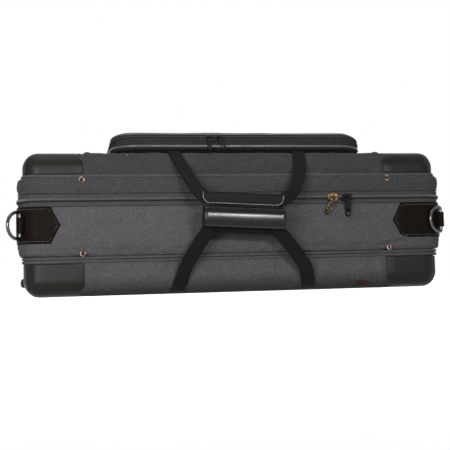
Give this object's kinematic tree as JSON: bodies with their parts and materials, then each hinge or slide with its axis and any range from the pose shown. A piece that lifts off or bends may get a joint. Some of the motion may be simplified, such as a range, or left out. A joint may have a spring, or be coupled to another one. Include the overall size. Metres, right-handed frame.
{
  "type": "trumpet case",
  "caption": "Padded zip-round case for two trumpets, with moulded corner guards, a webbing handle with leather grip, carrying rings and an accessory pocket on the lid.",
  "frame": {"origin": "middle of the flat broad face of the tray, on which the shut case lies", "axes": "+X along the case, the handle side faces -Y, the lid and its pocket are on top (+Z)"},
  "size_m": [0.5875, 0.3569, 0.217],
  "materials": {
    "plywood": "plain birch plywood",
    "shell_nylon": "charcoal woven nylon over foam",
    "band_nylon": "charcoal woven nylon over foam",
    "pocket_nylon": "charcoal woven nylon",
    "guard_leatherette": "smooth satin dark leatherette",
    "seam_piping": "nylon-covered piping cord",
    "rivet_metal": "coppery rivet head",
    "foot_rubber": "black rubber",
    "zip_coil": "nylon coil zip on woven tape",
    "hinge_webbing": "black woven tape",
    "lining_plush": "black short-pile plush",
    "block_plush": "black short-pile plush over foam",
    "patch_leather": "black-brown leather with stitched edge",
    "grip_leather": "glossy black leather",
    "strap_webbing": "black twill webbing",
    "ring_metal": "black-plated wire",
    "pull_brass": "worn brass",
    "black_metal": "black enamelled die casting"
  },
  "bodies": {
    "tray": {"end_feet": "foot_rubber", "front_loop_tab": "patch_leather", "left_horn_block": "block_plush", "left_ring_patch": "patch_leather", "left_stay_strap": "strap_webbing", "lower_handle_anchors": "strap_webbing", "middle_horn_block": "block_plush", "mouthpiece_blocks": "block_plush", "right_horn_block": "block_plush", "right_ring_patch": "patch_leather", "right_stay_strap": "strap_webbing", "tray_back_wall": "plywood", "tray_band": "band_nylon", "tray_cover": "shell_nylon", "tray_floor": "plywood", "tray_front_wall": "plywood", "tray_guards": "guard_leatherette", "tray_hinge_leaf": "hinge_webbing", "tray_left_wall": "plywood", "tray_lining": "lining_plush", "tray_right_wall": "plywood", "tray_rivets": "rivet_metal", "tray_seam_piping": "seam_piping", "tray_zip_half": "zip_coil"},
    "lid": {"lid_back_wall": "plywood", "lid_band": "band_nylon", "lid_cover": "shell_nylon", "lid_front_wall": "plywood", "lid_guards": "guard_leatherette", "lid_hinge_leaf": "hinge_webbing", "lid_left_wall": "plywood", "lid_lining": "lining_plush", "lid_right_wall": "plywood", "lid_rivets": "rivet_metal", "lid_seam_piping": "seam_piping", "lid_top_panel": "plywood", "lid_zip_half": "zip_coil", "pocket_gusset": "pocket_nylon", "upper_handle_anchors": "strap_webbing"},
    "pocket_cover": {"pocket_cover": "pocket_nylon"},
    "left_zip_slider": {"left_zip_slider": "pull_brass"},
    "right_zip_slider": {"right_zip_slider": "black_metal"},
    "left_zip_pull": {"left_zip_pull": "pull_brass"},
    "right_zip_pull": {"right_zip_pull": "black_metal"},
    "pocket_slider_left": {"pocket_slider_left": "black_metal"},
    "pocket_slider_right": {"pocket_slider_right": "black_metal"},
    "pocket_pull_left": {"pocket_pull_left": "black_metal"},
    "pocket_pull_right": {"pocket_pull_right": "black_metal"},
    "upper_handle": {"upper_handle_loop": "strap_webbing", "grip_flap": "grip_leather"},
    "lower_handle": {"lower_handle_loop": "strap_webbing", "grip_roll": "grip_leather"},
    "left_d_ring": {"left_d_ring": "ring_metal"},
    "right_d_ring": {"right_d_ring": "ring_metal"}
  },
  "joints": [
    {"name": "lid_hinge", "type": "hinge", "parent": "tray", "child": "lid", "pos_m": [0, 0.15, 0.123], "axis": [-1, 0, 0], "range_deg": [0, 100], "deforming": ["left_stay_strap", "right_stay_strap"]},
    {"name": "pocket_cover_hinge", "type": "hinge", "parent": "lid", "child": "pocket_cover", "pos_m": [0, 0.0972, 0.2086], "axis": [-1, 0, 0], "range_deg": [0, 110]},
    {"name": "left_zip_slide", "type": "slide", "parent": "tray", "child": "left_zip_slider", "axis": [1, 0, 0], "range_m": [-0.376, 0]},
    {"name": "right_zip_slide", "type": "slide", "parent": "tray", "child": "right_zip_slider", "axis": [1, 0, 0], "range_m": [0, 0.1]},
    {"name": "left_zip_pull_swing", "type": "hinge", "parent": "left_zip_slider", "child": "left_zip_pull", "pos_m": [0.127, -0.1571, 0.123], "axis": [-1, 0, 0], "range_deg": [0, 170]},
    {"name": "right_zip_pull_swing", "type": "hinge", "parent": "right_zip_slider", "child": "right_zip_pull", "pos_m": [0.1465, -0.1571, 0.123], "axis": [-1, 0, 0], "range_deg": [0, 170]},
    {"name": "pocket_left_slide", "type": "slide", "parent": "lid", "child": "pocket_slider_left", "axis": [1, 0, 0], "range_m": [-0.09, 0]},
    {"name": "pocket_right_slide", "type": "slide", "parent": "lid", "child": "pocket_slider_right", "axis": [1, 0, 0], "range_m": [0, 0.16]},
    {"name": "pocket_left_pull_swing", "type": "hinge", "parent": "pocket_slider_left", "child": "pocket_pull_left", "pos_m": [-0.033, -0.123, 0.2086], "axis": [-1, 0, 0], "range_deg": [0, 165]},
    {"name": "pocket_right_pull_swing", "type": "hinge", "parent": "pocket_slider_right", "child": "pocket_pull_right", "pos_m": [-0.0195, -0.123, 0.2086], "axis": [-1, 0, 0], "range_deg": [0, 165]},
    {"name": "upper_handle_swing", "type": "hinge", "parent": "lid", "child": "upper_handle", "pos_m": [-0.003, -0.13811, 0.18205], "axis": [-1, 0, 0], "range_deg": [0, 85]},
    {"name": "lower_handle_swing", "type": "hinge", "parent": "tray", "child": "lower_handle", "pos_m": [-0.003, -0.14104, 0.00914], "axis": [1, 0, 0], "range_deg": [0, 50]},
    {"name": "left_ring_swing", "type": "hinge", "parent": "tray", "child": "left_d_ring", "pos_m": [-0.28286, -0.14636, 0.09165], "axis": [0, 0, 1], "range_deg": [-113, 103]},
    {"name": "right_ring_swing", "type": "hinge", "parent": "tray", "child": "right_d_ring", "pos_m": [0.28286, -0.14636, 0.09165], "axis": [0, 0, 1], "range_deg": [0, 216]}
  ]
}
